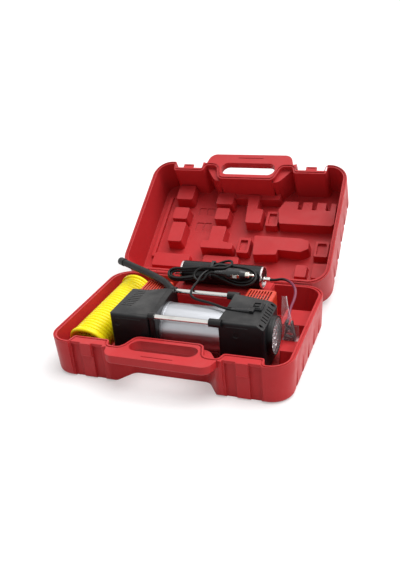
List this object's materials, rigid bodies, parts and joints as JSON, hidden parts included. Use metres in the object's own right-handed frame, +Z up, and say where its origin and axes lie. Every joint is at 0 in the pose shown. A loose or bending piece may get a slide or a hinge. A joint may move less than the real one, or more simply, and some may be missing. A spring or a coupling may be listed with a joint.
{
  "type": "tyre inflator kit",
  "caption": "Hinged blow-moulded carry case holding a twin-cylinder 12 V air compressor with lamp, recoil hose, corded lighter plug and battery clamp lead.",
  "frame": {"origin": "on the floor under the middle of the case base", "axes": "X along the case to the right, Y from the handle to the hinge, Z up"},
  "size_m": [0.43, 0.6017, 0.2416],
  "materials": {
    "case_red": "blow-moulded polyethylene, satin",
    "pin_steel": "plated",
    "housing_grey": "painted dark grey, satin",
    "flange_black": "moulded black",
    "barrel_metal": "silver grey paint",
    "switch_black": "moulded black",
    "rocker_black": "moulded black",
    "motor_steel": "plain",
    "bush_brass": "sintered bronze",
    "magnet_dark": "ferrite",
    "brush_carbon": "carbon",
    "shaft_steel": "ground",
    "core_copper": "varnished windings on laminations",
    "gear_steel": "cut",
    "cylinder_alu": "cast",
    "piston_alu": "cast",
    "guard_red": "moulded red",
    "rod_chrome": "polished",
    "lamp_black": "moulded black",
    "reflector_silver": "vacuum plated",
    "lens_clear": "clear",
    "board_green": "circuit board",
    "foot_rubber": "moulded",
    "relief_black": "moulded",
    "hose_yellow": "recoil hose",
    "fitting_brass": "turned",
    "hose_black": "braided rubber",
    "cord_black": "flexible insulation",
    "tie_black": "strap",
    "plug_black": "moulded",
    "contact_silver": "plated",
    "tube_black": "moulded",
    "ring_pale": "moulded",
    "fitting_chrome": "plated",
    "clamp_black": "coated",
    "film_clear": "clear film"
  },
  "bodies": {
    "case": {"case_base": "case_red", "hinge_pins": "pin_steel", "left_housing": "housing_grey", "motor_flange": "flange_black", "right_housing": "housing_grey", "switch_frame": "switch_black", "motor_barrel": "barrel_metal", "motor_end_bells": "motor_steel", "motor_bushes": "bush_brass", "motor_magnets": "magnet_dark", "motor_brushes": "brush_carbon", "left_cylinder": "cylinder_alu", "right_cylinder": "cylinder_alu", "left_cylinder_guard": "guard_red", "right_cylinder_guard": "guard_red", "front_tie_rod": "rod_chrome", "rear_tie_rod": "rod_chrome", "rod_sockets": "flange_black", "lamp_bezel": "lamp_black", "lamp_reflector": "reflector_silver", "lamp_lens": "lens_clear", "lamp_board": "board_green", "housing_screws": "pin_steel", "rubber_feet": "foot_rubber", "strain_relief": "relief_black", "coil_hose": "hose_yellow", "coil_front_fitting": "fitting_brass", "coil_rear_fitting": "fitting_brass", "outlet_union": "hose_black", "outlet_hose": "hose_black", "outlet_boot": "hose_black", "power_cord": "cord_black", "cord_hank": "cord_black", "cord_tail": "cord_black", "cord_tie": "tie_black", "plug_body": "plug_black", "plug_contacts": "contact_silver", "plug_ring": "contact_silver", "plug_spring": "pin_steel", "accessory_tube": "tube_black", "accessory_tube_rings": "ring_pale", "accessory_fitting": "fitting_chrome", "accessory_lead": "cord_black", "clamp_fixed_jaw": "clamp_black", "clamp_pin": "pin_steel", "clamp_spring": "pin_steel", "accessory_bag": "film_clear"},
    "lid": {"case_lid": "case_red"},
    "rocker": {"switch_rocker": "rocker_black"},
    "armature": {"armature_shaft": "shaft_steel", "armature_core": "core_copper", "drive_pinions": "gear_steel"},
    "left_crank": {"left_crank_gear": "gear_steel"},
    "right_crank": {"right_crank_gear": "gear_steel"},
    "left_piston_body": {"left_piston": "piston_alu"},
    "right_piston_body": {"right_piston": "piston_alu"},
    "plug_pin": {"plug_tip": "contact_silver"},
    "clamp_jaw": {"clamp_moving_jaw": "clamp_black"}
  },
  "joints": [
    {"name": "lid_hinge", "type": "hinge", "parent": "case", "child": "lid", "pos_m": [0, 0.147, 0.07], "axis": [1, 0, 0], "range_deg": [0, 147]},
    {"name": "rocker_pivot", "type": "hinge", "parent": "case", "child": "rocker", "pos_m": [0.131, -0.024, 0.1071], "axis": [1, 0, 0], "range_deg": [0, 20]},
    {"name": "armature_spin", "type": "hinge", "parent": "case", "child": "armature", "pos_m": [0, -0.036, 0.062], "axis": [1, 0, 0], "continuous": true},
    {"name": "left_crank_spin", "type": "hinge", "parent": "case", "child": "left_crank", "pos_m": [-0.06, -0.016, 0.062], "axis": [1, 0, 0], "continuous": true},
    {"name": "right_crank_spin", "type": "hinge", "parent": "case", "child": "right_crank", "pos_m": [0.1, -0.016, 0.062], "axis": [1, 0, 0], "continuous": true},
    {"name": "left_piston_slide", "type": "slide", "parent": "case", "child": "left_piston_body", "axis": [0, 1, 0], "range_m": [0, 0.016]},
    {"name": "right_piston_slide", "type": "slide", "parent": "case", "child": "right_piston_body", "axis": [0, 1, 0], "range_m": [0, 0.016]},
    {"name": "plug_pin_slide", "type": "slide", "parent": "case", "child": "plug_pin", "axis": [-1, 0, 0], "range_m": [0, 0.004], "stiffness_N_per_m": 400, "springref_m": -0.003, "deforming": ["plug_spring"]},
    {"name": "clamp_pivot", "type": "hinge", "parent": "case", "child": "clamp_jaw", "pos_m": [0.181, -0.006, 0.06], "axis": [0, -1, 0], "range_deg": [0, 12], "stiffness_Nm_per_rad": 0.05, "springref_deg": -22.92}
  ],
  "couplings": [
    {"joint": "left_crank_spin", "follows": "armature_spin", "ratio": -0.33333},
    {"joint": "right_crank_spin", "follows": "armature_spin", "ratio": -0.33333}
  ]
}
